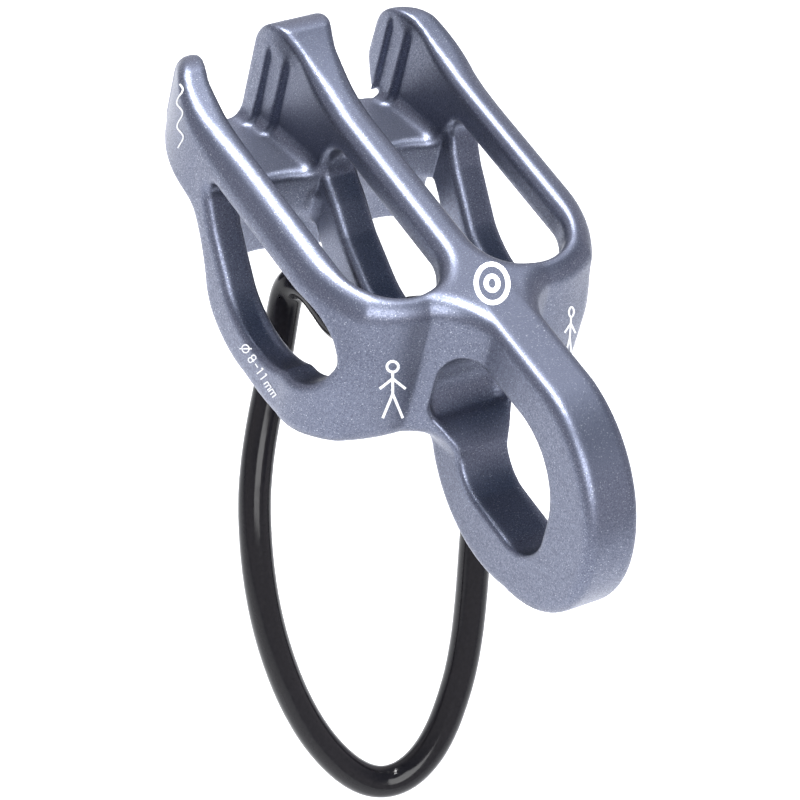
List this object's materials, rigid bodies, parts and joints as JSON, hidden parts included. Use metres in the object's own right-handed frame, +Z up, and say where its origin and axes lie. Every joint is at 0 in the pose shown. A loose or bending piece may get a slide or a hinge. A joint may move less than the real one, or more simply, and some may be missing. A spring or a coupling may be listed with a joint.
{
  "type": "belay device",
  "caption": "Tube-style belay device with two rope slots, an anchor eye, toothed friction grooves and a coated wire keeper loop that swings under the body.",
  "frame": {"origin": "centre of the anchor eye, where the device hangs from a carabiner", "axes": "X across the two rope slots, +Y to the grooved friction end, +Z up along the rope"},
  "size_m": [0.0426, 0.0873, 0.0874],
  "materials": {
    "anodised_body": "bead-blasted, slate-blue anodised",
    "black_coating": "smooth glossy extruded coating",
    "wire_strand": "galvanised wire",
    "ferrule_steel": "swaged"
  },
  "bodies": {
    "device": {"forged_body": "anodised_body"},
    "keeper": {"splice_ferrule": "ferrule_steel", "keeper_coating": "black_coating", "core_strand": "wire_strand", "outer_strand_1": "wire_strand", "outer_strand_2": "wire_strand", "outer_strand_3": "wire_strand", "outer_strand_4": "wire_strand", "outer_strand_5": "wire_strand", "outer_strand_6": "wire_strand"}
  },
  "joints": [
    {"name": "keeper_swing", "type": "hinge", "parent": "device", "child": "keeper", "pos_m": [0, 0.031, -0.0058], "axis": [1, 0, 0], "range_deg": [-20, 60]}
  ]
}
